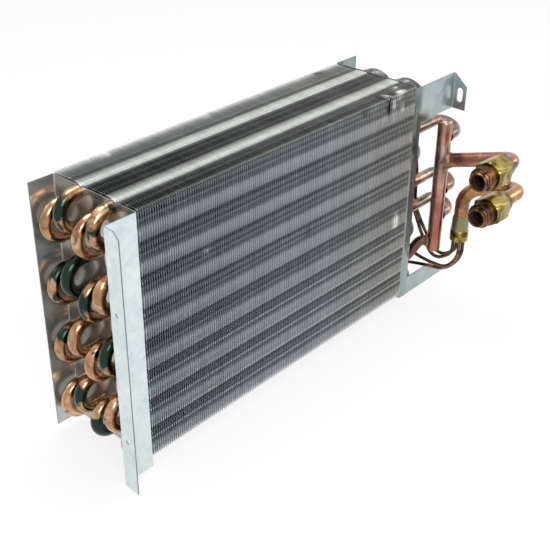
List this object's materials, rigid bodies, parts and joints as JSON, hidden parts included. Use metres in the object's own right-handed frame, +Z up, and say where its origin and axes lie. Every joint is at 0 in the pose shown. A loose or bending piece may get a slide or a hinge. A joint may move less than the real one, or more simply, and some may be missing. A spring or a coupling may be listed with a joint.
{
  "type": "evaporator core",
  "caption": "Finned refrigeration evaporator coil with copper hairpins, two galvanised tube sheets, a suction header, a capillary distributor and two brass flare fittings.",
  "frame": {"origin": "midway between the two fixing holes of the left tube sheet's lip, on the lip's outer face", "axes": "+X along the tubes from the hairpin end towards the header, +Y from the front face to the back face through the fins, +Z up"},
  "size_m": [0.4155, 0.176, 0.2145],
  "materials": {
    "fins": "satin",
    "galvanised_sheet": "satin",
    "copper": "polished",
    "dull_copper": "satin",
    "brass": "satin"
  },
  "bodies": {
    "root": {"fin_pack": "fins", "left_tube_sheet": "galvanised_sheet", "right_tube_sheet": "galvanised_sheet", "hairpin_row1_1": "copper", "hairpin_row1_2": "copper", "hairpin_row1_3": "copper", "hairpin_row1_4": "copper", "hairpin_row2_1": "copper", "hairpin_row2_2": "copper", "hairpin_row2_3": "copper", "hairpin_row2_4": "copper", "hairpin_row3_1": "copper", "hairpin_row3_2": "copper", "hairpin_row3_3": "copper", "hairpin_row3_4": "copper", "hairpin_row4_1": "copper", "hairpin_row4_2": "copper", "hairpin_row4_3": "copper", "hairpin_row4_4": "copper", "hairpin_row5_1": "copper", "hairpin_row5_2": "copper", "hairpin_row5_3": "copper", "hairpin_row5_4": "copper", "return_bend_1_1": "copper", "return_bend_1_2": "copper", "return_bend_1_3": "copper", "return_bend_1_4": "copper", "return_bend_2_1": "copper", "return_bend_2_2": "copper", "return_bend_2_3": "copper", "return_bend_2_4": "copper", "return_bend_3_1": "copper", "return_bend_3_2": "copper", "return_bend_3_3": "copper", "return_bend_3_4": "copper", "return_bend_4_1": "copper", "return_bend_4_2": "copper", "return_bend_4_3": "copper", "return_bend_4_4": "copper", "feeder_1": "copper", "feeder_2": "copper", "feeder_3": "copper", "feeder_4": "copper", "suction_header": "copper", "header_cap_lower": "copper", "header_cap_upper": "copper", "suction_fitting": "brass", "liquid_fitting": "brass", "suction_pipe": "copper", "liquid_pipe": "copper", "distributor": "brass", "inlet_ferrule_1": "dull_copper", "inlet_ferrule_2": "dull_copper", "inlet_ferrule_3": "dull_copper", "inlet_ferrule_4": "dull_copper", "capillary_1": "dull_copper", "capillary_2": "dull_copper", "capillary_3": "dull_copper", "capillary_4": "dull_copper"}
  },
  "joints": []
}
